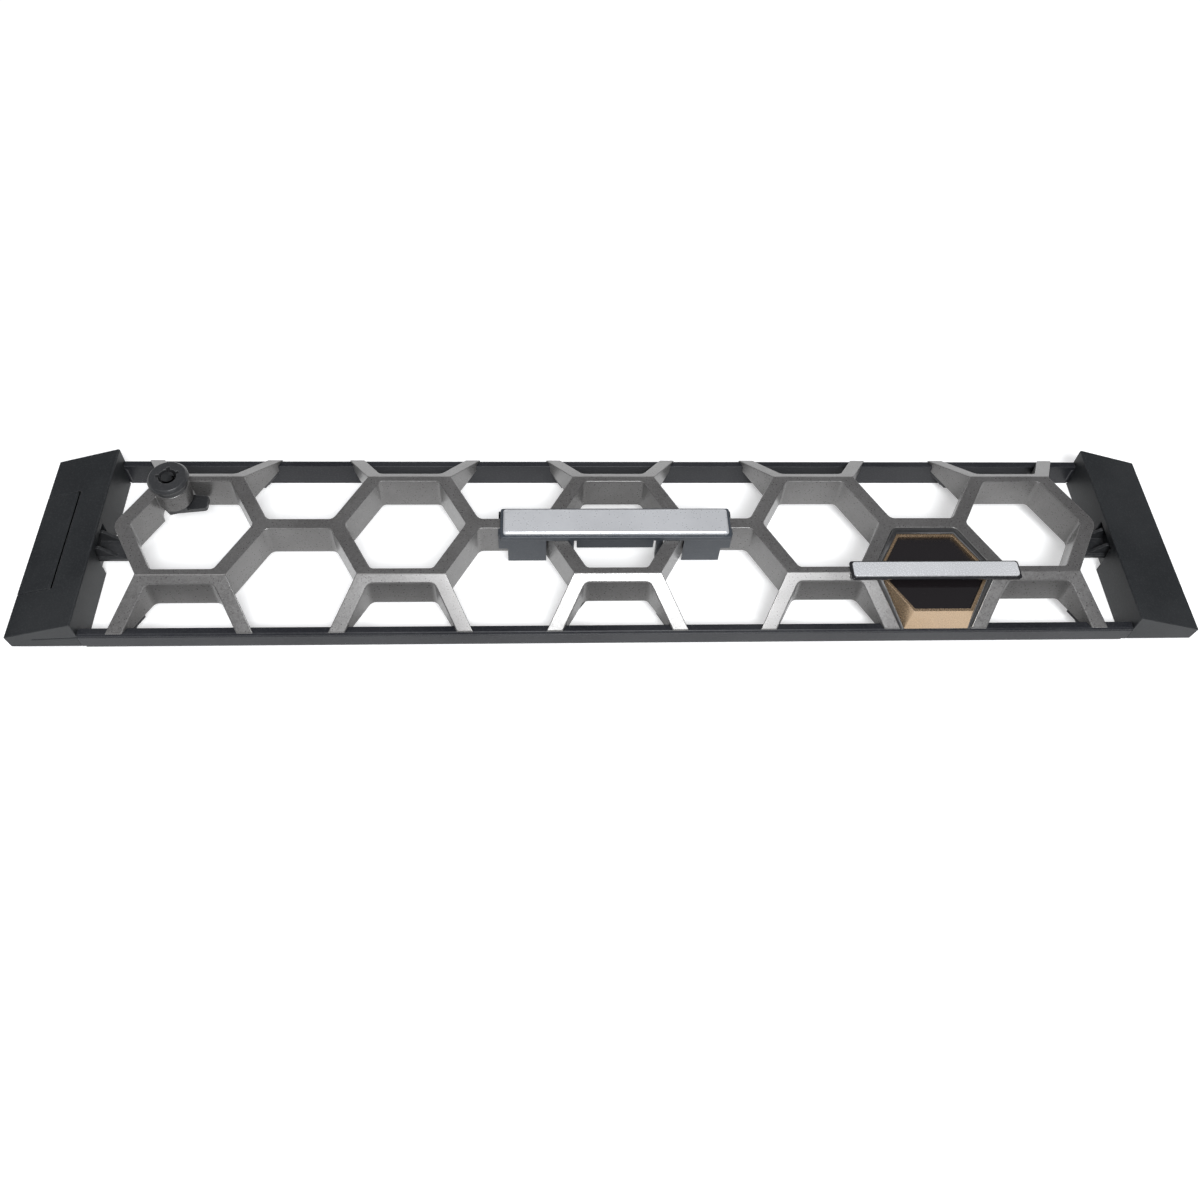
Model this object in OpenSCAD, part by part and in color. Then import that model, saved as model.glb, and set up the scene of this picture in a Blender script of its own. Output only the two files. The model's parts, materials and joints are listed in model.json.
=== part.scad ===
// Front bezel for a two-unit rack server, lying on its back.
// X runs along the bezel, +Y points to its top rail and +Z out of its front.
// The origin is under the middle of the bezel, on the plane that its rear edges lie in.
// Sizes in millimetres.

/* [Overall] */
// Width over the outer edges of the two end caps
bezel_w = 482.4; // [476:0.2:490]
// Height, from the outer side of one rail to the outer side of the other
bezel_h = 86.8; // [86:0.1:88.6]
// Height of the rails' front faces above the rear plane
rail_front_z = 12.4; // [12:0.1:13]
// Height of the rear rim of the outer skins above the rear plane
rim_z = 4; // [3:0.1:4.5]

/* [Honeycomb grille] */
// Clear distance between the grille's end corners and the end caps
tip_gap = 8.4; // [7:0.1:10]
// Half the clear height of a cell
cell_half_h = 21.45; // [20.8:0.05:21.7]
// Thickness of the cell walls
wall_t = 5.75; // [5:0.05:6]
// Width of the tie bars between the cells
tie_w = 5; // [4:0.1:5.4]
// Width of a leg, measured along the rail
leg_w = 6.5; // [5.6:0.1:7]
// Distance from a cell's middle to the outer edge of its legs, at the rail
leg_reach = 28.75; // [28:0.05:29.2]
// Distance of the two folds of the face from the middle line
fold_y = 24.2; // [23.8:0.1:24.6]
// Height of the flat middle of the face
face_z = 26.5; // [26:0.1:28]
// Height of the rear edge of the cell walls
cell_rear_z = 9.2; // [8.6:0.1:9.4]
// Thickness of the thin end of the legs, where they lap over the rails
leg_lap = 0.75; // [0.6:0.05:1.2]
// Radius of the corners inside the cells
cell_corner_r = 2.2; // [1:0.1:3]
// Radius of the corners beside the tie bars and between the legs
nook_r = 3; // [2:0.1:3.2]

/* [Rails] */
// Width of the rails' front faces
rail_w = 3.4; // [3.2:0.1:3.8]
// Thickness of the rails' rear tongues
tongue_t = 1.6; // [1.2:0.1:1.8]
// Width and depth of the shadow groove along the rails' outer sides
groove_w = 0.6; // [0.4:0.1:0.8]
// Bevel along the rails' outer front edges
rail_bevel = 0.7; // [0.4:0.1:0.9]

/* [End caps] */
// Width of each end cap
cap_w = 28.2; // [28:0.1:29]
// Height of the ridge at the inner side of the caps
ridge_z = 20.7; // [20.4:0.1:21.6]
// Height of the thin outer edge of the caps
edge_z = 11.1; // [10.8:0.1:11.6]
// Wall thickness of the caps
cap_wall = 2; // [1.8:0.1:2.1]

/* [Release button and latch] */
// Length of the release button along the cap
button_l = 48; // [44:0.5:50]
// Width of the button's face, from the cap's outer edge
button_w = 15.2; // [15:0.1:15.6]
// Travel of the button and its latch
button_travel = 3; // [2:0.1:3.2]
// Clear gap of the seams round the button
seam = 0.2; // [0.15:0.01:0.3]
// Thickness of the latch slide and of the fixed hook plate
plate_t = 1.6; // [1.4:0.1:1.8]
// Distance of the hooks from the middle line
hook_y = 20; // [19:0.5:21]
// Width of a hook
hook_w = 7; // [6:0.5:7.5]
// Outer diameter of the latch springs
spring_d = 4.4; // [3.6:0.1:4.6]
// Wire diameter of the latch springs
spring_wire = 0.6; // [0.4:0.05:0.7]

/* [Key lock] */
// Diameter of the lock's round head
lock_head_d = 16.6; // [15.6:0.1:17.4]
// Height of the head's front face
lock_head_z = 35.4; // [34.6:0.1:36.4]
// Outer diameter of the boss that carries the lock
lock_boss_d = 14.2; // [13.8:0.1:14.4]
// Height of the boss's top edge
lock_boss_z = 29.4; // [28.8:0.1:30]
// Diameter of the lock's threaded body
lock_body_d = 9.8; // [9:0.1:10]
// Length of the cam lever, from the lock's axis to its tip
cam_reach = 12.5; // [11:0.1:13]

/* [Badges] */
// Length of the middle badge
badge_l = 95.2; // [92:0.2:97]
// Height of the middle badge
badge_h = 14.6; // [13.6:0.1:15]
// Thickness of the middle badge's bar
badge_t = 2.5; // [2:0.1:3]
// Length of the slim badge
slim_l = 70.4; // [66:0.2:74]
// Height of the slim badge
slim_h = 8.6; // [7.6:0.1:9]

/* [Window insert] */
// Height of the insert frame's front edge
frame_z = 25.4; // [25:0.1:25.7]
// Width of the insert frame's front edge
frame_t = 1.2; // [1:0.05:1.4]

/* [Hidden] */
$fn = 48;
eps = 0.01;
cells = 5;

// main planes
half_w = bezel_w / 2;
half_h = bezel_h / 2;
cap_in = half_w - cap_w;              // inner side of the caps
rail_in = half_h - rail_w;            // inner side of the rails
leg_end = half_h - 0.35;              // thin ends of the legs, just inside the rails' edges

// honeycomb
slant = tan(30);
cell_out = cell_half_h + wall_t;      // half the outer height of a cell
cell_tip = cell_out / cos(30);        // distance of a cell's outer corner from its middle
cell_pitch = (cap_in - tip_gap - cell_tip) * 2 / (cells - 1);
cell_xs = [for (i = [0 : cells - 1]) (i - (cells - 1) / 2) * cell_pitch];
leg_out0 = leg_reach - leg_end * slant;   // where a leg's outer line would meet the middle line
meet_y = (cell_tip - leg_out0) / (2 * slant); // where cell wall and leg meet
meet_x = cell_tip - meet_y * slant;
past = 10;                            // how far cutters run past what they cut
tip_r = 6;                            // radius of the outermost corners of the grille

// screws: one small pan-head screw throughout
screw_r = 1.25;
screw_head_r = 2.1;
screw_head_t = 1.4;
screw_fit = 0.02;                     // radial gap of a screw in its hole
screw_point = 0.6;                    // tapered tip
cross_w = 0.44;                       // cross recess in the head
cross_l = 2.2;
cross_deep = 0.7;
slot_r = screw_r + 0.3;               // half width of the latch slide's slots
over = 1;                             // how far a drill runs past a face
spare = 0.4;                          // room beyond a screw's tip

// rails
leg_bite = 6;                         // depth of the screws in the legs
lug_t = 2;                            // rail lugs below the legs
lug_in = 8;                           // reach of the lugs from the rail
lug_y = rail_in - 4.2;                // screws of the lugs
groove_z = rail_front_z - rail_bevel - 0.5 - groove_w;
rail_end = 16;                        // reach of the rails' ends into the caps
strip_t = 1.5;                        // upright strip at the rail's end
flange_z = 8;                         // underside of the rail ends' screw flanges
flange_t = 2;
flange_x = 4;                         // start of the flange, from the cap's inner side
flange_reach = 3.4;                   // reach of the flange past its screw
rail_post = [10, half_h - 5.9];       // fixing of the rail end, from the cap's inner side
rail_bite = 3.6;                      // depth of the screws in the posts

// end caps
cap_k = (ridge_z - edge_z) / cap_w;   // slope of the caps' faces
skin_z = cap_wall * sqrt(1 + cap_k * cap_k);  // upright thickness of the sloped skin
side_lean = 0.8;                      // lean of the outer sides
ridge_cut = 0.6;                      // small bevel along the ridge
post_r = 2.9;
rail_post_r = 3.2;
rib_t = 1.2;                          // stiffening ribs below the skin
rib_reach = 9;
rib_side = 1.5;                       // ribs beside the button's opening
rib_edge = 10.4;                      // outer ribs, from the bezel's long edges
rib_ys = [button_l / 2 + rib_side, half_h - rib_edge];
rail_room = 0.1;                      // clearance round the rails' ends
notch_w = 14;                         // window in the cap's inner wall round the arm
notch_z = ridge_z - 4.1;
stop_r = 1.4;                         // rounded stop on the right cap's outer side
stop_l = 4;
stop_edge = 19.8;                     // middle of the stop, from the upper long edge
stop_y = half_h - stop_edge;

// brackets
arm_w = 11.6;
arm_t = 1.8;
arm_in = cell_half_h / cos(30) + 0.6; // end of the arm, from the middle of the end cell
plate_x = [cap_wall, cap_wall + 1.6]; // bracket's upright plate
plate_half = 26;
plate_low = 1.2;                      // lower edge of the plate over the rear plane
web_z = notch_z - 1.2;                // top of the two webs
web_reach = 6.5;                      // reach of the webs along the arm
web_t = 1.4;
web_y = 3.9;                          // middle of a web
ear_z = 11;                           // underside of the bracket's ears
ear_reach = 9;
ear_half = 3.5;
ear_post = [5.9, 18];                 // fixing of the ears, from the cap's inner side
ear_post_r = 2.3;
ear_bite = 3.8;
peg_l = 1.5;                          // pegs that centre the springs

// latch
button_in = cap_w - button_w;         // inner seam, from the cap's inner side
slide_z = 7.4;                        // underside of the latch slide
slide_top = slide_z + plate_t;
slide_x = [7.5, cap_w - 3.7];         // slide's edges, from the cap's inner side
slide_half = rail_post.y - flange_reach - 0.7; // half its length
guide_post = [cap_w / 2 - 0.1, button_l / 2 + post_r + 0.4];
guide_gap = 0.15;                     // play of the slide between its guides
guide_bite = 4.4;
button_post = [button_in + 6, 10];    // screws of the button
button_bite = 3.2;
hook_x = cap_w - 7.7;                 // inner face of the hooks
hook_t = 1.6;
toe = 2.6;                            // reach of the hooks' toes
toe_t = 1.8;
toe_cut = 1;                          // lead-in bevel of the toes
hook_low = 0.6;                       // height of the toes over the rear plane
spring_y = 6;
spring_seat = cap_w / 2 - 0.6;        // seat of the springs on the slide
spring_room = 0.3;
peg_r = 0.75;                         // pegs on the slide
lip_z = surf(button_in) - 0.65;       // top of the lip below the cap's edge
lip_reach = 1.5;
lip_t = 1.6;
lip_room = button_travel + lip_reach + 0.5;
lip_side = 0.3;
pad_out = 0.8;                        // thumb ribs stand out of the button's side
pad_pitch = 4;
pad_w = 1.4;
pads = 7;

// key lock
lock_side = 10.9;                     // lock, from the middle of its cell
lock_x = cell_xs[0] - lock_side;
lock_y = cell_half_h - 3.95;
boss_rise = 10.9;                     // underside of the boss over the grille's rear
boss_low = cell_rear_z + boss_rise;
neck_r = lock_head_d / 2 - 1.4;
neck_z = lock_head_z - 3.8;           // underside of the head
head_bevel = 1.2;
body_bevel = 0.4;
nut_t = 2.9;
nut_r = 7;
cam_t = 2;
cam_r = 4.6;
cam_tip = 3.2;                        // half width of the lever's tip
cam_square = 4;                       // square end of the core
cam_fit = 0.02;
lock_low = boss_low - nut_t;          // rear end of the housing
lock_run = 0.05;                      // running gap of the core
key_r = 3.65;                         // outer radius of the ring key's way
core_r = 3.2;                         // core's shaft
pin_r = 2.45;                         // middle post of the ring key's way
key_deep = 8;
key_lugs = [30, 95, 178];             // directions of the notches for the key's lugs
key_lug_w = 1.4;
key_lug_out = 1.1;
key_lug_deep = 5;
pocket_r = 7.6;                       // room for nut and cam in the walls below the boss
cam_screw_r = 0.9;
cam_bite = 4;

// badges and insert
badge_y = -1.6;
slim_y = -24;
slim_bar_t = 1.1;
slim_face_t = 0.9;
gap_mid = 1.5 * cell_pitch;           // middle of the gap that holds the insert
tie_l = cell_pitch - 2 * cell_tip;    // length of a tie bar
jaw_out = 6;                          // outer faces of the badge's jaws
jaw_top = 10.2;                       // depth of the jaws' wide part
spine_deep = 9.6;                     // depth of the badge's spine
insert_clear = 0.15;
insert_drop = 0.3;                    // insert rim lies below the grille's face
floor_t = 1.8;                        // floor of the insert rim
ledge = 1.4;                          // ledge that the window rests on
glass_t = 2;
glass_drop = 1.4;

// ---------- shared shapes ----------

function unit(v) = v / norm(v);

// height of a cap's face at a distance u from its inner side
function surf(u) = ridge_z - u * cap_k;

// corner p between points a and b, rounded with radius r into short steps
function corner(a, p, b, r) =
    let (
        u = unit(a - p),
        v = unit(b - p),
        half = acos(u * v) / 2,
        mid = p + unit(u + v) * r / sin(half),
        start = p + u * r / tan(half) - mid,
        turn = 180 - 2 * half,
        way = sign(cross(u, v)),
        steps = max(2, ceil(turn / 15))
    )
    [for (i = [0 : steps]) let (t = -way * turn * i / steps)
        mid + [start.x * cos(t) - start.y * sin(t), start.x * sin(t) + start.y * cos(t)]];

// outline through pts with one radius for each point
function rounded(pts, rs) =
    let (n = len(pts))
    [for (i = [0 : n - 1])
        each rs[i] > 0 ? corner(pts[(i + n - 1) % n], pts[i], pts[(i + 1) % n], rs[i]) : [pts[i]]];

// prism along X from a profile drawn in Y and Z
module along_x(x0, x1) {
    translate([x0, 0, 0]) rotate([90, 0, 90]) linear_extrude(x1 - x0) children();
}

// prism along Y from a profile drawn in X and Z
module along_y(y0, y1) {
    translate([0, y1, 0]) rotate([90, 0, 0]) linear_extrude(y1 - y0) children();
}

module block(x, y, z) {
    translate([x[0], y[0], z[0]]) cube([x[1] - x[0], y[1] - y[0], z[1] - z[0]]);
}

module rod(p, r, z0, z1) {
    translate([p[0], p[1], z0]) cylinder(r = r, h = z1 - z0);
}

// pan-head screw driven upward, its head seated below z
module screw(p, z, grip) {
    translate([p.x, p.y, z]) {
        rotate_extrude() polygon([
            [0, -screw_head_t / 4], [screw_r, -screw_head_t / 4], [screw_r, grip - screw_point],
            [screw_r - 0.5, grip], [0, grip]]);
        translate([0, 0, -screw_head_t]) difference() {
            rotate_extrude() polygon([
                [0, 0], [screw_head_r - 0.7, 0], [screw_head_r, 0.6],
                [screw_head_r, screw_head_t], [0, screw_head_t]]);
            for (a = [0, 90]) rotate(a)
                translate([-cross_l / 2, -cross_w / 2, -eps]) cube([cross_l, cross_w, cross_deep]);
        }
    }
}

module screw_hole(p, z0, z1) {
    rod(p, screw_r + screw_fit, z0, z1);
}

module both_y() {
    children();
    mirror([0, 1, 0]) children();
}

// draws for the right-hand cap, where u = x - cap_in
module at_cap() {
    translate([cap_in, 0, 0]) children();
}

// ---------- honeycomb grille ----------

function leg_outer(y) = leg_out0 + y * slant;
function leg_inner(y) = leg_outer(y) - leg_w;

// opening of one cell
module cell_hole() {
    r = cell_half_h / cos(30);
    polygon(rounded([for (a = [0 : 60 : 300]) r * [cos(a), sin(a)]], [for (i = [0 : 5]) cell_corner_r]));
}

// opening between the two legs above a cell
module leg_hole() {
    y0 = cell_out;
    y1 = half_h + past;
    polygon(rounded(
        [[leg_inner(y0), y0], [leg_inner(y1), y1], [-leg_inner(y1), y1], [-leg_inner(y0), y0]],
        [nook_r, 0, 0, nook_r]));
}

// opening between two cells, above the tie bar, shrunk by inset
function gap_outline(inset) =
    let (
        m = cell_pitch / 2 - inset / cos(30),
        y0 = tie_w / 2 + inset,
        y1 = half_h + past
    )
    rounded(
        [[m - cell_tip + y0 * slant, y0], [m - meet_x, meet_y], [m - leg_outer(y1), y1],
         [leg_outer(y1) - m, y1], [meet_x - m, meet_y], [cell_tip - y0 * slant - m, y0]],
        [nook_r, 0.6, 0, 0, 0.6, nook_r]);

// half of the grille's outline, right of the middle line
function end_outline() =
    let (m = cell_xs[cells - 1], y1 = half_h + past)
    rounded(
        [[m + leg_outer(y1), -y1], [m + meet_x, -meet_y], [m + cell_tip, 0], [m + meet_x, meet_y],
         [m + leg_outer(y1), y1]],
        [0, 0, tip_r, 0, 0]);

module grille_plan() {
    difference() {
        polygon([for (p = end_outline()) p, for (p = end_outline()) -p]);
        for (x = cell_xs) translate([x, 0]) {
            cell_hole();
            leg_hole();
            mirror([0, 1]) leg_hole();
        }
        for (i = [0 : cells - 2]) translate([(cell_xs[i] + cell_xs[i + 1]) / 2, 0]) {
            polygon(gap_outline(0));
            mirror([0, 1]) polygon(gap_outline(0));
        }
    }
}

// side view of the grille: flat middle, two facets, feet that lap over the rails
module grille_side(drop) {
    polygon([
        [-rail_in, cell_rear_z], [rail_in, cell_rear_z], [rail_in, rail_front_z],
        [leg_end, rail_front_z], [leg_end, rail_front_z + leg_lap - drop / 2],
        [fold_y, face_z - drop], [-fold_y, face_z - drop],
        [-leg_end, rail_front_z + leg_lap - drop / 2], [-leg_end, rail_front_z], [-rail_in, rail_front_z]]);
}

// middle of a leg at the height of its screw, for cell i and side s
function lug_at(i, s) = [cell_xs[i] + s * (leg_outer(lug_y) - leg_w / 2), lug_y];

// legs that are screwed to the rails
lug_legs = [[0, -1], [0, 1], [2, -1], [2, 1], [4, -1], [4, 1]];

tip_screw = [cell_xs[cells - 1] + (cell_half_h / cos(30) + cell_tip) / 2, 0];

module hex_grille() {
    low = cell_rear_z - over;
    top = cell_rear_z + leg_bite;
    color([0.43, 0.41, 0.39]) difference() {
        union() {
            intersection() {
                linear_extrude(face_z + past) grille_plan();
                along_x(-half_w, half_w) grille_side(0);
            }
            rod([lock_x, lock_y], lock_boss_d / 2, boss_low, lock_boss_z);
        }
        rod([lock_x, lock_y], lock_body_d / 2 + screw_fit, boss_low - past, lock_boss_z + past);
        rod([lock_x, lock_y], pocket_r, cell_rear_z - past, boss_low);
        for (l = lug_legs) both_y() screw_hole(lug_at(l[0], l[1]), low, top);
        for (s = [-1, 1]) screw_hole(s * tip_screw, low, top);
    }
}

module grille_screws() {
    color([0.2, 0.2, 0.21]) {
        for (l = lug_legs) both_y()
            screw(lug_at(l[0], l[1]), cell_rear_z - lug_t, lug_t + leg_bite - spare);
        for (s = [-1, 1]) screw(s * tip_screw, cell_rear_z - arm_t, arm_t + leg_bite - spare);
    }
}

// ---------- rails ----------

module rail_side() {
    difference() {
        polygon([
            [rail_in, 0], [rail_in + tongue_t, 0], [rail_in + tongue_t, rim_z], [half_h, rim_z],
            [half_h, rail_front_z - rail_bevel], [half_h - rail_bevel, rail_front_z],
            [rail_in, rail_front_z]]);
        translate([half_h - groove_w, groove_z]) square([groove_w + over, groove_w]);
    }
}

// lug below a leg, slanted with it
module lug(i, s) {
    y0 = rail_in - lug_in;
    y1 = rail_in + eps;
    half = leg_w / 2 - 0.5;
    mid0 = leg_outer(y0) - leg_w / 2;
    mid1 = leg_outer(y1) - leg_w / 2;
    translate([cell_xs[i], 0, cell_rear_z - lug_t]) linear_extrude(lug_t) polygon([
        [s * (mid0 - half), y0], [s * (mid0 + half), y0],
        [s * (mid1 + half), y1], [s * (mid1 - half), y1]]);
}

// end of a rail inside a cap: an upright strip and a screw flange
module rail_tail() {
    y1 = half_h - cap_wall;
    flange_zs = [flange_z, flange_z + flange_t];
    block([-over, rail_end], [y1 - strip_t, y1], [over, flange_zs[1]]);
    difference() {
        block([flange_x, rail_end], [rail_post.y - flange_reach, y1], flange_zs);
        screw_hole(rail_post, flange_zs[0] - over, flange_zs[1] + over);
    }
}

module rail() {
    along_x(-cap_in, cap_in) rail_side();
    difference() {
        for (l = lug_legs) lug(l[0], l[1]);
        for (l = lug_legs) screw_hole(lug_at(l[0], l[1]), cell_rear_z - lug_t - over, cell_rear_z + over);
    }
    at_cap() rail_tail();
    mirror([1, 0, 0]) at_cap() rail_tail();
}

module top_rail() {
    color([0.15, 0.16, 0.19]) rail();
}

module bottom_rail() {
    color([0.15, 0.16, 0.19]) mirror([0, 1, 0]) rail();
}

module rail_screws() {
    color([0.2, 0.2, 0.21]) both_y() {
        at_cap() screw(rail_post, flange_z, flange_t + rail_bite - spare);
        mirror([1, 0, 0]) at_cap() screw(rail_post, flange_z, flange_t + rail_bite - spare);
    }
}

// ---------- end caps ----------

// underside of the sloped skin at the outer side
low_skin_z = edge_z + cap_wall * cap_k - skin_z;

module cap_outer() {
    along_y(-half_h, half_h) polygon([
        [0, 0], [0, ridge_z - ridge_cut], [ridge_cut, surf(ridge_cut)], [cap_w, edge_z],
        [cap_w - side_lean, rim_z], [cap_wall, rim_z], [cap_wall, 0]]);
}

module cap_room() {
    along_y(cap_wall - half_h, half_h - cap_wall) polygon([
        [cap_wall, -over], [cap_wall, surf(cap_wall) - skin_z],
        [cap_w - cap_wall, low_skin_z], [cap_w - cap_wall - side_lean, -over]]);
}

// round posts that carry what is screwed in from behind
module cap_posts(guided) {
    both_y() {
        rod(rail_post, rail_post_r, flange_z + flange_t, ridge_z);
        rod(ear_post, ear_post_r, ear_z + arm_t, ridge_z);
        rod(guide_post, post_r, slide_top + (guided ? guide_gap : 0), ridge_z);
        if (!guided) rod(button_post, post_r, slide_top, ridge_z);
    }
}

module cap_ribs() {
    both_y() for (y = rib_ys)
        block([cap_wall - over, rib_reach], [y - rib_t / 2, y + rib_t / 2], [ear_z + arm_t, ridge_z]);
}

// room in the cap's walls for the end of a rail
module rail_end_room() {
    y1 = half_h - cap_wall;
    xs = [-over, cap_wall + over];
    block(xs, [y1 - strip_t - rail_room, y1 + rail_room], [-over, flange_z + flange_t + rail_room]);
    block(xs, [y1 - strip_t - rail_room, half_h + over], [-over, rim_z]);
}

module cap_shell(guided) {
    difference() {
        cap_outer();
        difference() {
            cap_room();
            cap_posts(guided);
            cap_ribs();
        }
        both_y() {
            rail_end_room();
            screw_hole(rail_post, flange_z, flange_z + flange_t + rail_bite);
            screw_hole(ear_post, ear_z, ear_z + arm_t + ear_bite);
            screw_hole(guide_post, slide_z, slide_top + guide_bite);
            if (!guided) screw_hole(button_post, slide_z, slide_top + button_bite);
        }
        // window round the bracket's arm
        block([-over, cap_wall + over], [-notch_w / 2, notch_w / 2], [-over, notch_z]);
    }
}

module right_end_cap() {
    color([0.13, 0.14, 0.15]) at_cap() {
        cap_shell(false);
        // small rounded stop on the outer side
        translate([cap_w - stop_r + pad_out, stop_y, edge_z - 2 * stop_r]) {
            for (y = [0, stop_l]) translate([0, y, 0]) cylinder(r = stop_r, h = stop_r);
            translate([-stop_r, 0, 0]) cube([2 * stop_r, stop_l, stop_r]);
        }
    }
}

module left_end_cap() {
    half = button_l / 2;
    groove_l = 19;
    groove_dip = 4.5;
    color([0.13, 0.14, 0.15]) mirror([1, 0, 0]) at_cap() difference() {
        cap_shell(true);
        // opening for the button
        block([button_in, cap_w + over], [-half, half], [-over, ridge_z + over]);
        // room for the button's lip below the edge of the opening
        block([button_in - lip_room, button_in + over], [-half - lip_side, half + lip_side],
            [slide_top, lip_z + rail_room]);
        // shadow grooves that carry on from the rails
        both_y() translate([-over, half_h - groove_w, groove_z])
            rotate([0, groove_dip, 0]) cube([groove_l, groove_w + over, groove_w]);
    }
}

// ---------- brackets ----------

module bracket() {
    arm_x = cell_xs[cells - 1] + arm_in - cap_in;
    arm_low = cell_rear_z - arm_t;
    difference() {
        union() {
            block([arm_x, plate_x[1]], [-arm_w / 2, arm_w / 2], [arm_low, cell_rear_z]);
            block(plate_x, [-plate_half, plate_half], [plate_low, ear_z + arm_t]);
            block(plate_x, [-web_y - web_t / 2, web_y + web_t / 2], [plate_low, web_z]);
            both_y() {
                block([cap_wall, ear_reach], [ear_post.y - ear_half, ear_post.y + ear_half],
                    [ear_z, ear_z + arm_t]);
                along_y(web_y - web_t / 2, web_y + web_t / 2) polygon([
                    [-web_reach, cell_rear_z - eps], [cap_wall + eps, cell_rear_z - eps],
                    [cap_wall + eps, web_z], [-spare, web_z]]);
                translate([cap_wall, spring_y, slide_z + plate_t / 2]) rotate([0, 90, 0])
                    cylinder(r = spring_d / 2 - spring_wire - 0.2, h = plate_x[1] - cap_wall + peg_l);
            }
        }
        both_y() screw_hole(ear_post, ear_z - over, ear_z + arm_t + over);
        screw_hole([tip_screw.x - cap_in, 0], arm_low - over, cell_rear_z + over);
    }
}

module right_bracket() {
    color([0.1, 0.1, 0.11]) at_cap() bracket();
}

module left_bracket() {
    color([0.1, 0.1, 0.11]) mirror([1, 0, 0]) at_cap() bracket();
}

module bracket_screws() {
    color([0.2, 0.2, 0.21]) both_y() {
        at_cap() screw(ear_post, ear_z, arm_t + ear_bite - spare);
        mirror([1, 0, 0]) at_cap() screw(ear_post, ear_z, arm_t + ear_bite - spare);
    }
}

// ---------- latch side ----------

// hook that reaches back from the plate and turns outward
module hook() {
    x1 = hook_x + hook_t;
    along_y(hook_y - hook_w / 2, hook_y + hook_w / 2) polygon([
        [hook_x, slide_top], [hook_x, hook_low], [x1 + toe - toe_cut, hook_low],
        [x1 + toe, hook_low + toe_cut], [x1 + toe, hook_low + toe_t],
        [x1, hook_low + toe_t], [x1, slide_top]]);
}

// plate with two hooks, shared by the sliding latch and the fixed side
module hooked_plate() {
    block(slide_x, [-slide_half, slide_half], [slide_z, slide_top]);
    both_y() hook();
}

module latch_slide() {
    low = slide_z - over;
    top = slide_top + over;
    notch_half = spring_d / 2 + spring_room;
    color([0.62, 0.63, 0.64]) mirror([1, 0, 0]) at_cap() difference() {
        union() {
            difference() {
                hooked_plate();
                // notches that hold the springs
                both_y() block([slide_x[0] - over, spring_seat],
                    [spring_y - notch_half, spring_y + notch_half], [low, top]);
            }
            both_y() translate([spring_seat - 2, spring_y, slide_z + plate_t / 2])
                rotate([0, 90, 0]) cylinder(r = peg_r, h = 2 + eps);
        }
        both_y() {
            // slots on the guide screws
            rod(guide_post, slot_r, low, top);
            rod([guide_post.x + button_travel, guide_post.y], slot_r, low, top);
            block([guide_post.x, guide_post.x + button_travel],
                [guide_post.y - slot_r, guide_post.y + slot_r], [low, top]);
            screw_hole(button_post, low, top);
        }
    }
}

module release_button() {
    half = button_l / 2 - seam;
    flat_u = (ridge_z - lip_z) / cap_k;   // where the lip's top meets the sloped face
    color([0.13, 0.14, 0.15]) mirror([1, 0, 0]) at_cap() difference() {
        union() {
            // face, lip below the cap's edge and outer side in one skin
            along_y(-half, half) polygon([
                [button_in - lip_reach, lip_z], [flat_u, lip_z], [cap_w, edge_z],
                [cap_w - side_lean, rim_z], [cap_w - side_lean - cap_wall, rim_z],
                [cap_w - cap_wall, low_skin_z], [flat_u + over, lip_z - lip_t],
                [button_in - lip_reach, lip_z - lip_t]]);
            both_y() intersection() {
                rod(button_post, post_r - 0.3, slide_top, ridge_z);
                along_y(-half, half) polygon([
                    [0, 0], [0, lip_z], [flat_u, lip_z], [cap_w, edge_z], [cap_w, 0]]);
            }
            // thumb ribs on the outer side
            for (i = [0 : pads - 1]) let (y = (i - (pads - 1) / 2) * pad_pitch)
                block([cap_w - side_lean - 0.5, cap_w + pad_out],
                    [y - pad_w / 2, y + pad_w / 2], [rim_z + pad_w, edge_z - 2 * pad_w]);
        }
        both_y() screw_hole(button_post, slide_z, slide_top + button_bite);
    }
}

module button_screws() {
    color([0.2, 0.2, 0.21]) mirror([1, 0, 0]) at_cap() both_y()
        screw(button_post, slide_z, plate_t + button_bite - spare);
}

module guide_screws() {
    color([0.2, 0.2, 0.21]) mirror([1, 0, 0]) at_cap() both_y()
        screw(guide_post, slide_z - guide_gap, guide_gap + plate_t + guide_bite - spare);
}

// wound compression spring along the slide's travel
module spring(x0, x1) {
    sides = 6;
    turns = 6;
    rings = 10 * turns;
    wire_r = spring_wire / 2;
    r = spring_d / 2 - wire_r;
    l = x1 - x0 - spring_wire;
    pts = [for (i = [0 : rings], j = [0 : sides - 1])
        let (a = 360 * turns * i / rings, b = 360 * j / sides, q = r + wire_r * cos(b))
        [x0 + wire_r + l * i / rings + wire_r * sin(b), q * cos(a), q * sin(a)]];
    polyhedron(pts, concat(
        [for (i = [0 : rings - 1], j = [0 : sides - 1]) let (k = (j + 1) % sides)
            [i * sides + j, i * sides + k, (i + 1) * sides + k, (i + 1) * sides + j]],
        [[for (j = [sides - 1 : -1 : 0]) j], [for (j = [0 : sides - 1]) rings * sides + j]]));
}

module latch_springs() {
    color([0.7, 0.7, 0.72]) mirror([1, 0, 0]) at_cap()
        for (y = [-spring_y, spring_y]) translate([0, y, slide_z + plate_t / 2])
            spring(plate_x[1], spring_seat);
}

// ---------- fixed side ----------

module hook_plate() {
    color([0.62, 0.63, 0.64]) at_cap() difference() {
        hooked_plate();
        both_y() {
            screw_hole(guide_post, slide_z - over, slide_top + over);
            screw_hole(button_post, slide_z - over, slide_top + over);
        }
    }
}

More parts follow.
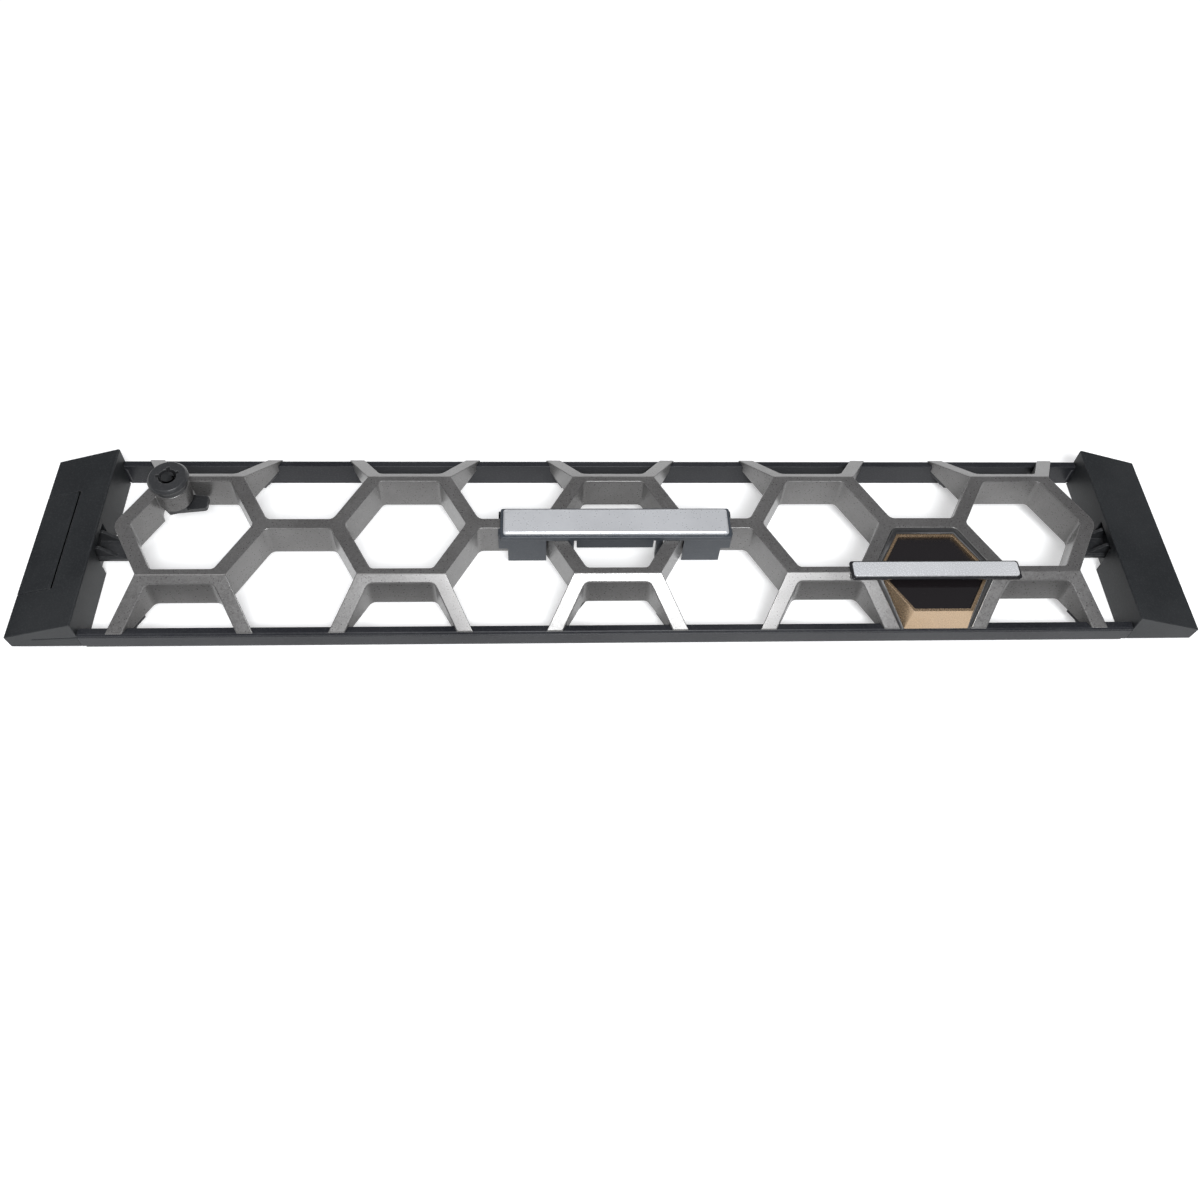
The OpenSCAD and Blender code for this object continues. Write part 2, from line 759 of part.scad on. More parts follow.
module hook_screws() {
    color([0.2, 0.2, 0.21]) at_cap() both_y() {
        screw(guide_post, slide_z, plate_t + guide_bite - spare);
        screw(button_post, slide_z, plate_t + button_bite - spare);
    }
}

// ---------- key lock ----------

module at_lock() {
    translate([lock_x, lock_y, 0]) children();
}

// fixed housing: round head with the ring key's way, neck and threaded body
module lock_barrel() {
    body_r = lock_body_d / 2;
    head_r = lock_head_d / 2;
    bore_z = lock_head_z - key_deep;
    color([0.17, 0.17, 0.18]) at_lock() difference() {
        rotate_extrude() polygon([
            [0, lock_low], [body_r - body_bevel, lock_low], [body_r, lock_low + body_bevel],
            [body_r, lock_boss_z], [neck_r, lock_boss_z], [neck_r, neck_z], [head_r, neck_z],
            [head_r, lock_head_z - head_bevel], [head_r - head_bevel * 0.75, lock_head_z],
            [0, lock_head_z]]);
        rod([0, 0], core_r + lock_run, lock_low - over, bore_z);
        rod([0, 0], key_r, bore_z, lock_head_z + over);
        // notches for the key's lugs
        for (a = key_lugs) rotate(a)
            block([key_r - 0.5, key_r + key_lug_out], [-key_lug_w / 2, key_lug_w / 2],
                [lock_head_z - key_lug_deep, lock_head_z + over]);
    }
}

// turning core: post inside the ring, shaft, square end for the cam
module lock_core() {
    half = cam_square / 2;
    key_nick = [1.6, 0.5, 3];             // radius, half width and depth of the post's nick
    color([0.24, 0.25, 0.25]) at_lock() difference() {
        union() {
            rod([0, 0], pin_r, lock_low, lock_head_z - 0.3);
            rod([0, 0], core_r, lock_low, lock_head_z - key_deep - 2 * lock_run);
            block([-half, half], [-half, half], [lock_low - cam_t, lock_low + eps]);
        }
        rod([0, 0], cam_screw_r, lock_low - cam_t - over, lock_low + cam_bite);
        block([key_nick[0], core_r], [-key_nick[1], key_nick[1]],
            [lock_head_z - key_nick[2], lock_head_z + over]);
    }
}

// nut that holds the lock in its boss
module lock_nut() {
    color([0.3, 0.3, 0.31]) at_lock() difference() {
        translate([0, 0, lock_low]) rotate(15) cylinder(r = nut_r, h = nut_t, $fn = 6);
        rod([0, 0], lock_body_d / 2 + screw_fit, lock_low - over, boss_low + over);
    }
}

// cam lever that turns with the core
module lock_cam() {
    low = lock_low - cam_t;
    half = cam_square / 2 + cam_fit;
    color([0.12, 0.12, 0.13]) at_lock() difference() {
        translate([0, 0, low]) linear_extrude(cam_t - 2 * lock_run) {
            circle(r = cam_r);
            polygon(rounded(
                [[0, -cam_r], [cam_reach, -cam_tip], [cam_reach, cam_tip], [0, cam_r]],
                [0, 1.4, 1.4, 0]));
        }
        block([-half, half], [-half, half], [low - over, lock_low + over]);
    }
}

module lock_cam_screw() {
    low = lock_low - cam_t;
    washer_t = 0.6;
    head_t = 1.2;
    color([0.2, 0.2, 0.21]) at_lock() {
        rod([0, 0], core_r, low - washer_t, low);
        rod([0, 0], cam_screw_r - cam_fit, low - eps, low + cam_bite);
        translate([0, 0, low - washer_t - head_t]) difference() {
            cylinder(r1 = 1.3, r2 = 1.9, h = head_t + eps);
            for (a = [0, 90]) rotate(a)
                translate([-cross_l / 2, -cross_w / 2, -eps]) cube([cross_l, cross_w, head_t / 2]);
        }
    }
}

// ---------- badges ----------

// corners of an upright rectangle of half sizes w and h
function corners(w, h) = [[w, -h], [w, h], [-w, h], [-w, -h]];

// jaw that grips a tie bar beside the middle cell, from the front down past its rear edge
module jaw() {
    gap = tie_w / 2;
    near = cell_tip - jaw_out * slant + 0.6;
    far = cell_tip + 0.72 * tie_l;
    far_low = far - 0.16 * tie_l;
    snap = 2.2;                           // height of the nose below the bar
    nose = 0.9;                           // reach of the nose under the bar
    module plan(x1) {
        polygon([[x1, gap], [x1, jaw_out], [near, jaw_out], [near + 0.7, gap + 2.4], [near + 3.4, gap]]);
    }
    translate([0, 0, face_z - jaw_top]) linear_extrude(jaw_top + eps) plan(far);
    translate([0, 0, cell_rear_z - snap]) linear_extrude(face_z - cell_rear_z) plan(far_low);
    along_x(near + 4, far_low - over) polygon([
        [gap + over, cell_rear_z], [gap - nose, cell_rear_z], [gap + 0.2, cell_rear_z - snap],
        [gap + over, cell_rear_z - snap]]);
}

module badge_bar() {
    leg_x = cell_half_h / cos(30) - 7.6;
    leg_xs = [leg_x, leg_x + 2.8];
    spine = 16;                           // half length of the spine in the middle cell
    color([0.2, 0.22, 0.25]) {
        translate([0, badge_y, face_z]) linear_extrude(badge_t)
            polygon(rounded(corners(badge_l / 2, badge_h / 2), [1, 1, 1, 1]));
        block([-spine, spine], [-jaw_out, jaw_out - 2], [face_z - spine_deep, face_z + eps]);
        for (m = [0, 1]) mirror([m, 0, 0]) {
            both_y() jaw();
            // legs inside the middle cell
            block(leg_xs, [-jaw_out, 2.4 - jaw_out], [cell_rear_z, face_z + eps]);
        }
    }
}

// raised face of the middle badge, with a narrow bevel round its front
module badge_face() {
    w = badge_l / 2 - 1.2;
    h = badge_h / 2 - 1.2;
    bevel_w = 0.7;
    bevel_t = 0.6;
    flat_t = 1;
    color([0.72, 0.73, 0.75]) translate([0, badge_y, face_z + badge_t]) {
        linear_extrude(flat_t) polygon(rounded(corners(w, h), [1, 1, 1, 1]));
        hull() {
            translate([0, 0, flat_t - eps]) linear_extrude(eps)
                polygon(rounded(corners(w, h), [1, 1, 1, 1]));
            translate([0, 0, flat_t + bevel_t - eps]) linear_extrude(eps)
                polygon(rounded(corners(w - bevel_w, h - bevel_w), [1, 1, 1, 1]));
        }
    }
}

module slim_plan(grow) {
    r = 1.2;
    polygon(rounded(corners(slim_l / 2 + grow, slim_h / 2 + grow), [r, r, r, r]));
}

module slim_bar() {
    color([0.07, 0.07, 0.08]) translate([gap_mid, slim_y, face_z])
        linear_extrude(slim_bar_t) slim_plan(0);
}

module slim_face() {
    color([0.85, 0.86, 0.88]) translate([gap_mid, slim_y, face_z + slim_bar_t])
        linear_extrude(slim_face_t) slim_plan(-1);
}

// ---------- window insert ----------

frame_w = cell_pitch / 2 - meet_x - 2.2;      // half width of the frame at its front
frame_point = 11.45;                          // reach of its side points past the flat edges' ends
frame_side = frame_w - frame_point;           // half length of its flat upper and lower edges
frame_top = -tie_w / 2 - 2.5;
frame_low = 1 - leg_end;

// hexagon of half width w and half edge length side, between y = top and y = low
function insert_hex(w, side, top, low) =
    [[-side, top], [side, top], [w, (top + low) / 2], [side, low], [-side, low], [-w, (top + low) / 2]];

// front outline of the frame, moved inward by inset
function frame_hex(inset) =
    insert_hex(frame_w - inset / cos(30), frame_side - inset * slant, frame_top - inset, frame_low + inset);

// solid of the frame: it widens towards its foot on the rail
module frame_solid() {
    translate([gap_mid, 0, 0]) hull() {
        translate([0, 0, rail_front_z]) linear_extrude(eps)
            polygon(insert_hex(frame_w + 0.8, frame_side + 1.2, frame_top + 0.6, -leg_end));
        translate([0, 0, frame_z - eps]) linear_extrude(eps) polygon(frame_hex(0));
    }
}

module insert_frame() {
    color([0.7, 0.57, 0.36]) difference() {
        frame_solid();
        translate([gap_mid, 0, frame_z - glass_drop - glass_t])
            linear_extrude(past) polygon(frame_hex(frame_t));
        translate([gap_mid, 0, 0]) linear_extrude(face_z) polygon(frame_hex(frame_t + ledge));
    }
}

module insert_window() {
    color([0.05, 0.05, 0.06, 0.8]) translate([gap_mid, 0, frame_z - glass_drop - glass_t])
        linear_extrude(glass_t) polygon(frame_hex(frame_t + 0.05));
}

// black tray that fills the gap and carries the frame
module insert_rim() {
    color([0.05, 0.05, 0.055]) difference() {
        intersection() {
            translate([gap_mid, 0, 0]) mirror([0, 1, 0]) linear_extrude(face_z)
                polygon(gap_outline(insert_clear));
            along_x(0, half_w) grille_side(insert_drop);
        }
        frame_solid();
        translate([gap_mid, 0, cell_rear_z + floor_t]) linear_extrude(rail_front_z - cell_rear_z)
            polygon([for (p = frame_hex(frame_t + ledge)) [p.x, max(p.y, 1.5 - rail_in)]]);
    }
}

// ---------- the whole bezel ----------

hex_grille();
top_rail();
bottom_rail();
left_end_cap();
right_end_cap();
left_bracket();
right_bracket();
release_button();
latch_slide();
latch_springs();
guide_screws();
button_screws();
hook_plate();
hook_screws();
bracket_screws();
rail_screws();
grille_screws();
lock_barrel();
lock_nut();
lock_core();
lock_cam();
lock_cam_screw();
badge_bar();
badge_face();
slim_bar();
slim_face();
insert_rim();
insert_frame();
insert_window();
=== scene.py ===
# %% [markdown]
# # A server front bezel
# This lesson dresses a two-unit server bezel: a honeycomb grille between two rails, closed by
# two wedge-shaped end caps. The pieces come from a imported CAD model, already in place and in
# metres. Here they get rounded edges, paints, plastics and plated metal, then light and a camera.

# %% Load the frame
import json
import math

import bmesh
import bpy
from mathutils import Matrix, Vector
from mathutils.geometry import convex_hull_2d

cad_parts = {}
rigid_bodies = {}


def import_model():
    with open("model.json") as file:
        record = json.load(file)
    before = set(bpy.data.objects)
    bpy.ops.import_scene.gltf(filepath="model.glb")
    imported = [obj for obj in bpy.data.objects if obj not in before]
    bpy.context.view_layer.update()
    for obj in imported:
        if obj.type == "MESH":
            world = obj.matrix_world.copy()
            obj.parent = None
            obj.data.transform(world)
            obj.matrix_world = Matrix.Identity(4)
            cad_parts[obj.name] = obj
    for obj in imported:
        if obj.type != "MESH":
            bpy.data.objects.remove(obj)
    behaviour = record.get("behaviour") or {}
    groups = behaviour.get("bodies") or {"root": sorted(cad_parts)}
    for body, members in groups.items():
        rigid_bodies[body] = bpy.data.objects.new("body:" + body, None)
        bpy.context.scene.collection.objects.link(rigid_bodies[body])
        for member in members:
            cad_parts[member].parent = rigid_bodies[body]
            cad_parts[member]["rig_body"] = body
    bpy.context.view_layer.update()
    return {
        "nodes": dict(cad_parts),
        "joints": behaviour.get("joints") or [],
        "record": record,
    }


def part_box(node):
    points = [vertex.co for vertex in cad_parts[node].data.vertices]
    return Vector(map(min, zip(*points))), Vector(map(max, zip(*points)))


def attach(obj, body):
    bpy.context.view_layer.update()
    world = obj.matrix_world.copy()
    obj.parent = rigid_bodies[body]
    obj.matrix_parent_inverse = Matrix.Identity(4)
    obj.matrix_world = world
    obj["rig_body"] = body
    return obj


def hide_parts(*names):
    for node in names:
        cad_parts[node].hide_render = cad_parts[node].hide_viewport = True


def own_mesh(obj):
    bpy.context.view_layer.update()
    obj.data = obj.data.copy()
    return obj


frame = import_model()
NODES = frame["nodes"]
MM = 0.001
print("pieces in the frame:", len(NODES))

# %% [markdown]
# Paint and plastic are never one even colour. Their small changes are worked out by shader
# nodes, and writing those as sums is easier to read than wiring each one by hand. The class
# below wraps one output socket: `a * 0.5 + b` adds the Math nodes that say the same.

# %% Shader maths as expressions
class Value:
    """One output socket of a material, with the operators that the recipes below use."""

    def __init__(self, tree, socket):
        self.tree = tree
        self.socket = socket

    def math(self, operation, other, clamp=False):
        settings = {"operation": operation, "use_clamp": clamp}
        return Recipe.on(self.tree).add("ShaderNodeMath", settings, {0: self, 1: other})

    def __add__(self, other):
        return self.math("ADD", other)

    __radd__ = __add__

    def __mul__(self, other):
        return self.math("MULTIPLY", other)

    __rmul__ = __mul__

    def __sub__(self, other):
        return self.math("SUBTRACT", other)

    def __rsub__(self, other):
        return (self * -1.0) + other

    def clamped(self):
        return self.math("ADD", 0.0, clamp=True)

    def step(self, low, high):
        """0 below low, 1 above high, and a smooth climb between them."""
        return Recipe.on(self.tree).add(
            "ShaderNodeMapRange", {"interpolation_type": "SMOOTHSTEP"},
            {"Value": self, "From Min": low, "From Max": high})


def feed(tree, socket, value):
    """Links a Value to a socket, or writes a plain number or colour on it."""
    if isinstance(value, Value):
        tree.links.new(value.socket, socket)
    else:
        socket.default_value = value


# %% [markdown]
# Every finish starts the same way: a Principled shader, fed by a few textures that are fixed to
# the piece itself. `Recipe` makes that start, and its one `add` method makes any other node from
# a type, its settings and the values of its sockets.

# %% A recipe for a finish
EDGE_STARTS = 0.02
EDGE_FULL = 0.35


class Recipe:
    def __init__(self, name, color, roughness, metallic=0.0):
        self.material = bpy.data.materials.new(name)
        self.material.use_nodes = True
        self.tree = self.material.node_tree
        self.shader = self.tree.nodes["Principled BSDF"]
        self.material.diffuse_color = (*color, 1.0)
        self.set("Base Color", (*color, 1.0))
        self.set("Roughness", roughness)
        self.set("Metallic", metallic)

    @classmethod
    def on(cls, tree):
        """The same methods for a tree that has no shader of its own yet."""
        recipe = cls.__new__(cls)
        recipe.tree = tree
        return recipe

    def set(self, socket, value):
        feed(self.tree, self.shader.inputs[socket], value)

    def add(self, kind, settings=None, sockets=None, output=0):
        node = self.tree.nodes.new(kind)
        for key, value in (settings or {}).items():
            setattr(node, key, value)
        for key, value in (sockets or {}).items():
            feed(self.tree, node.inputs[key], value)
        return Value(self.tree, node.outputs[output])

    def place(self):
        """The point on the piece at rest, in metres."""
        return self.add("ShaderNodeTexCoord", output="Object")

    def noise(self, per_metre, detail=2.0, roughness=0.5, stretch=None):
        """Soft random patches, so many to the metre."""
        where = self.place()
        if stretch:
            where = self.add("ShaderNodeVectorMath", {"operation": "MULTIPLY"}, {0: where, 1: stretch})
        return self.add("ShaderNodeTexNoise", {}, {
            "Vector": where, "Scale": per_metre, "Detail": detail, "Roughness": roughness})

    def grains(self, per_metre, output="Distance"):
        """Small cells with sharp borders, for flakes and moulded grain."""
        return self.add("ShaderNodeTexVoronoi", {}, {"Vector": self.place(), "Scale": per_metre}, output)

    def mix(self, share, a, b):
        """Colour a where share is 0 and colour b where it is 1."""
        a, b = (color if isinstance(color, Value) else (*color, 1.0) for color in (a, b))
        return self.add("ShaderNodeMix", {"data_type": "RGBA"}, {0: share, 6: a, 7: b}, 2)

    def edges(self, radius):
        """1 along sharp outer edges and 0 on flat ground, from the bend of a rounded normal."""
        bent = self.add("ShaderNodeBevel", {"samples": 6}, {"Radius": radius})
        flat = self.add("ShaderNodeNewGeometry", output="True Normal")
        turn = self.add("ShaderNodeVectorMath", {"operation": "DOT_PRODUCT"}, {0: bent, 1: flat}, 1)
        return (1.0 - turn).step(EDGE_STARTS ** 2, EDGE_FULL ** 2)

    def bump(self, height, strength, depth):
        self.set("Normal", self.add("ShaderNodeBump", {}, {
            "Height": height, "Strength": strength, "Distance": depth}))

    def coat(self, weight, roughness):
        """A clear layer of varnish over the whole piece."""
        self.set("Coat Weight", weight)
        self.set("Coat Roughness", roughness)


def dark(color, share):
    return tuple(c * share for c in color)


def pale(color, share):
    return tuple(c + (1 - c) * share for c in color)


# %% [markdown]
# ## Finishes
# The honeycomb is one plastic moulding, sprayed with a grey metallic paint. Such paint holds
# tiny aluminium flakes: each lies at its own tilt, so the surface sparkles where a lamp hits it.
# The flakes are Voronoi cells that shift the brightness and the roughness from cell to cell. On
# outer edges the base colour is painted lighter, a painted highlight where the rounded edges
# catch the light. The badge strips and the insert's gold frame carry paint of the same kind in
# other tones.

# %% Metallic paint
FLAKES_PER_METRE = 2600.0


def metallic_paint(name, color, roughness, metallic, flake, edge_shine):
    finish = Recipe(name, color, roughness, metallic)
    flakes = finish.grains(FLAKES_PER_METRE)
    patches = finish.noise(38.0, detail=4.0).step(0.35, 0.65)
    # painted highlight: outer edges get a paler base colour and a lower roughness
    edge_wear_and_sheen = finish.edges(0.5 * MM) * edge_shine
    tone = finish.mix(patches, dark(color, 0.93), pale(color, 0.03))
    flake_tones = finish.grains(FLAKES_PER_METRE, "Color")
    sparkle = finish.add("ShaderNodeSeparateColor", {}, {"Color": flake_tones})
    tone = finish.mix(sparkle * flake, tone, pale(color, 0.5))
    finish.set("Base Color", finish.mix(edge_wear_and_sheen, tone, pale(color, 0.35)))
    finish.set("Roughness", (sparkle - 0.5) * 0.14 + roughness - edge_wear_and_sheen * 0.12)
    finish.bump(flakes, 0.06, 0.03 * MM)
    finish.coat(0.15, 0.25)
    return finish.material


# %% [markdown]
# The rails and the end caps are bare black plastic, the rails a touch bluer. Their mould was
# spark-eroded, which leaves a fine, even grain: it hides finger marks and makes the black look
# soft. Noise in the bump gives that grain, and broad clouds shift the tone. The brackets' powder
# coat, the lock's housing and the insert's tray have a grain of the same kind.

# %% Grained black plastic
def moulded_plastic(name, color, roughness, grain, edge_shine, per_metre, shine=0.5):
    finish = Recipe(name, color, roughness)
    finish.set("Specular IOR Level", shine)
    fine = finish.noise(per_metre, detail=3.0, roughness=0.6)
    clouds = finish.noise(22.0, detail=3.0).step(0.3, 0.7)
    # painted highlight: outer edges get a paler base colour and a lower roughness, as if catching the light
    edge_wear_and_sheen = finish.edges(0.6 * MM) * edge_shine
    tone = finish.mix(clouds, dark(color, 0.88), pale(color, 0.012))
    tone = finish.mix(fine.step(0.45, 0.7) * 0.35, tone, pale(color, 0.045))
    finish.set("Base Color", finish.mix(edge_wear_and_sheen, tone, pale(color, 0.12)))
    finish.set("Roughness", fine * 0.16 + roughness - 0.08 - edge_wear_and_sheen * 0.1)
    finish.bump(fine, grain, 0.06 * MM)
    return finish.material


# %% [markdown]
# Steel parts behind the caps are zinc plated: a bright metal with a faint bluish and yellowish
# cloud. Screws and the lock's core are blackened metal, which shows bare metal on worn edges. One
# recipe covers them: a metal, a stretched noise for brush marks, and an edge mask.

# %% Plated and blackened metal
BARE_METAL = (0.55, 0.55, 0.54)
EVEN = (1.0, 1.0, 1.0)


def metal(name, color, roughness, tint=None, brushed=EVEN, wear=0.3):
    finish = Recipe(name, color, roughness, 1.0)
    clouds = finish.noise(140.0, detail=3.0).step(0.35, 0.65)
    marks = finish.noise(900.0, stretch=brushed)
    edge_wear_and_sheen = finish.edges(0.3 * MM) * wear
    tone = finish.mix(clouds, dark(color, 0.9), tint or pale(color, 0.06))
    finish.set("Base Color", finish.mix(edge_wear_and_sheen, tone, BARE_METAL))
    finish.set("Roughness", (marks - 0.5) * 0.16 + clouds * 0.05 + roughness)
    finish.bump(marks, 0.12, 0.03 * MM)
    return finish.material


# %% [markdown]
# The window of the insert is a smoked sheet: nearly black, glossy, and a little see-through. Faint
# wipe marks change its roughness and dust its tone. The slim badge's body is glossy black too.

# %% Smoked window and glossy black
def gloss(name, color, roughness, alpha=1.0):
    finish = Recipe(name, color, roughness)
    smears = finish.noise(60.0, detail=4.0, stretch=(1.0, 3.0, 1.0)).step(0.4, 0.75)
    dust = finish.grains(700.0).step(0.0, 0.12)
    finish.set("Base Color", finish.mix((1.0 - dust) * 0.25, color, pale(color, 0.12)))
    finish.set("Roughness", smears * 0.12 + (1.0 - dust) * 0.1 + roughness)
    finish.coat(0.6, 0.05)
    finish.set("Alpha", alpha)
    return finish.material


# %% [markdown]
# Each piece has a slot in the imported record, and each slot a finish here. Roughness follows what
# a hand would feel: polished strips are low, spark-eroded plastic is high.

# %% All finishes of the bezel
FINISHES = {
    "grille_paint": metallic_paint(
        "grille_paint", (0.130, 0.126, 0.123), 0.34, metallic=0.55, flake=0.10, edge_shine=0.3),
    "rail_paint": moulded_plastic(
        "rail_paint", (0.011, 0.012, 0.016), 0.38,
        grain=0.08, edge_shine=0.5, per_metre=1300.0, shine=0.25),
    "cap_plastic": moulded_plastic(
        "cap_plastic", (0.010, 0.012, 0.014), 0.50,
        grain=0.30, edge_shine=0.35, per_metre=1500.0, shine=0.28),
    "bracket_steel": moulded_plastic(
        "bracket_steel", (0.015, 0.016, 0.018), 0.42, grain=0.15, edge_shine=0.3, per_metre=900.0),
    "plated_steel": metal(
        "plated_steel", (0.56, 0.58, 0.62), 0.3, tint=(0.60, 0.58, 0.50), brushed=(1.0, 6.0, 1.0)),
    "spring_steel": metal("spring_steel", (0.50, 0.50, 0.52), 0.28, wear=0.1),
    "screw_steel": metal("screw_steel", (0.06, 0.06, 0.065), 0.36),
    "lock_black": moulded_plastic(
        "lock_black", (0.020, 0.021, 0.023), 0.34, grain=0.12, edge_shine=0.6, per_metre=1100.0),
    "lock_core_metal": metal("lock_core_metal", (0.075, 0.08, 0.082), 0.3),
    "badge_slate": moulded_plastic(
        "badge_slate", (0.036, 0.044, 0.056), 0.42, grain=0.14, edge_shine=0.4, per_metre=1200.0),
    "badge_silver": metallic_paint(
        "badge_silver", (0.60, 0.61, 0.63), 0.34, metallic=0.35, flake=0.06, edge_shine=0.3),
    "slim_black": gloss("slim_black", (0.012, 0.012, 0.014), 0.16),
    "slim_chrome": metallic_paint(
        "slim_chrome", (0.72, 0.73, 0.75), 0.24, metallic=0.3, flake=0.04, edge_shine=0.3),
    "rim_black": moulded_plastic(
        "rim_black", (0.012, 0.012, 0.013), 0.4, grain=0.15, edge_shine=0.3, per_metre=1200.0),
    "frame_gold": metallic_paint(
        "frame_gold", (0.42, 0.29, 0.17), 0.28, metallic=0.8, flake=0.04, edge_shine=0.2),
    "smoked_window": gloss("smoked_window", (0.012, 0.010, 0.011), 0.08, alpha=0.86),
}
SLOTS = {part["node"]: part["material_slot"] for part in frame["record"]["subparts"]}
for node, piece in NODES.items():
    piece.data.materials.clear()
    piece.data.materials.append(FINISHES[SLOTS[node]])
print("finishes:", len(FINISHES))

# %% [markdown]
# ## Rounded edges
# No moulded or stamped edge is truly sharp. A radius of a few tenths of a millimetre is what
# catches the light along every leg of the honeycomb, so it is real geometry here: a copy of the
# CAD piece is cleaned to its flat faces, and a Bevel modifier rounds each edge that turns by more
# than about 30 degrees. A Weighted Normal modifier then lets the large faces rule the shading, so
# they stay flat while the roundings turn. The copy rides on the same body and stands for the piece.

# %% Cleaning a copy, and adding it to the scene
WELD = 2e-6
FLAT_TURN = math.radians(0.6)


def clean(mesh, flatten=True):
    """Joins the corners that lie on each other, and gives each flat area one face."""
    shape = bmesh.new()
    shape.from_mesh(mesh)
    bmesh.ops.remove_doubles(shape, verts=shape.verts, dist=WELD)
    if flatten:
        bmesh.ops.dissolve_limit(shape, angle_limit=FLAT_TURN, verts=shape.verts, edges=shape.edges)
        bmesh.ops.dissolve_degenerate(shape, dist=WELD, edges=shape.edges)
    for face in shape.faces:
        face.smooth = True
    shape.to_mesh(mesh)
    shape.free()


def add_object(name, data):
    thing = bpy.data.objects.new(name, data)
    bpy.context.scene.collection.objects.link(thing)
    return thing


def add_piece(mesh, name, slot, body):
    piece = add_object(name, mesh)
    mesh.materials.clear()
    mesh.materials.append(FINISHES[slot])
    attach(piece, body)
    return piece


# %% A softened copy of a CAD piece
SHARP_TURN = math.radians(32.0)


def settle(piece):
    """Applies the modifiers, so that the mesh itself holds the shape."""
    graph = bpy.context.evaluated_depsgraph_get()
    mesh = bpy.data.meshes.new_from_object(piece.evaluated_get(graph))
    piece.modifiers.clear()
    piece.data = mesh


def cut_out(piece, cutter):
    """Takes the cutter's space out of the piece and removes the cutter."""
    clean(piece.data, flatten=False)
    cut = piece.modifiers.new("cut", "BOOLEAN")
    cut.object = cutter
    settle(piece)
    bpy.data.objects.remove(cutter)


def soften(node, name, radius, steps=2, reshape=None, cutter=None):
    """Rounds a copy, after cutter has been cut out of it and reshape has edited its mesh."""
    mesh = NODES[node].data.copy()
    mesh.name = name
    piece = add_piece(mesh, name, SLOTS[node], NODES[node]["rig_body"])
    if cutter:
        cut_out(piece, cutter)
    if reshape:
        reshape(piece.data)
    clean(piece.data)
    if radius:
        rounding = piece.modifiers.new("rounding", "BEVEL")
        rounding.limit_method = "ANGLE"
        rounding.angle_limit = SHARP_TURN
        rounding.width = radius
        rounding.segments = steps
        rounding.miter_outer = "MITER_ARC"
        rounding.use_clamp_overlap = False
    shading = piece.modifiers.new("shading", "WEIGHTED_NORMAL")
    shading.weight = 100
    settle(piece)
    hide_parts(node)
    print(f"{name}: {len(piece.data.polygons)} faces, edges {radius / MM:.2f} mm")


# %% The mouldings, the trim and the sheet metal
ROUNDINGS = [
    ("hex_grille", "grille_moulding", 0.40, 3),
    ("top_rail", "top_rail_moulding", 0.25, 2),
    ("bottom_rail", "bottom_rail_moulding", 0.25, 2),
    ("left_end_cap", "left_cap_moulding", 0.30, 2),
    ("right_end_cap", "right_cap_moulding", 0.30, 2),
    ("release_button", "release_button_moulding", 0.22, 2),
    ("badge_bar", "badge_bar_moulding", 0.30, 2),
    ("badge_face", "badge_strip", 0.12, 2),
    ("slim_bar", "slim_bar_moulding", 0.20, 2),
    ("slim_face", "slim_strip", 0.15, 2),
    ("insert_frame", "insert_frame_moulding", 0.20, 2),
    ("left_bracket", "left_bracket_sheet", 0.20, 2),
    ("right_bracket", "right_bracket_sheet", 0.20, 2),
    ("latch_slide", "latch_plate", 0.18, 2),
    ("hook_plate", "fixed_hook_plate", 0.18, 2),
]
for node, name, radius, steps in ROUNDINGS:
    soften(node, name, radius * MM, steps)

# %% [markdown]
# The insert is a black tray with a gold frame standing in it, and the frame's front is open to
# the eye all the way round. So the tray's top is cut away over the frame: a prism with the
# frame's own front outline is made from its highest corners and taken out with a Boolean. The
# wall that is left is too thin for a rounding, so it keeps its edges and gets only the shading.

# %% A prism over a piece's front
SAME_CORNER = 0.1 * MM


def front_outline(node, depth):
    """Corners of a piece's front, as seen from the front, in order, and the front's height."""
    corners = [v.co for v in NODES[node].data.vertices]
    top = max(c.z for c in corners)
    flat = [c.xy for c in corners if c.z > top - depth]
    outline = [flat[i] for i in convex_hull_2d(flat)]
    return [c for i, c in enumerate(outline) if (c - outline[i - 1]).length > SAME_CORNER], top


def closed_mesh(shape, name):
    """Turns every face outward and writes the shape to a new mesh."""
    bmesh.ops.recalc_face_normals(shape, faces=shape.faces)
    mesh = bpy.data.meshes.new(name)
    shape.to_mesh(mesh)
    shape.free()
    return mesh


def prism(name, outline, low, high, grow):
    """A closed prism along Z, its outline moved outward from its middle by grow."""
    middle = sum(outline, Vector((0.0, 0.0))) / len(outline)
    outline = [c + (c - middle).normalized() * grow for c in outline]
    shape = bmesh.new()
    rings = [[shape.verts.new((*c, z)) for c in outline] for z in (low, high)]
    for ring in rings:
        shape.faces.new(ring)
    for i, corner in enumerate(rings[0]):
        shape.faces.new((rings[0][i - 1], corner, rings[1][i], rings[1][i - 1]))
    return add_object(name, closed_mesh(shape, name))


# %% The insert's tray, open over its frame
FRONT_DEPTH = 0.02 * MM
PRISM_HEIGHT = 5 * MM
SIDE_PLAY = 0.12 * MM

frame_front, frame_top = front_outline("insert_frame", FRONT_DEPTH)
print("corners of the gold frame's front:", len(frame_front))
over_frame = prism("over_frame", frame_front, frame_top - FRONT_DEPTH, frame_top + PRISM_HEIGHT, SIDE_PLAY)
soften("insert_rim", "insert_rim_moulding", 0.0, cutter=over_frame)

# %% [markdown]
# The lock's head is a thin disc that stands clear of its boss on a slightly smaller collar. The
# disc's underside is raised to its true height here: only the corners of that ring move.

# %% The lock's head
HEAD_DISC = 2.2 * MM
HEAD_UNDER = 3.8 * MM
RING_PLAY = 0.05 * MM


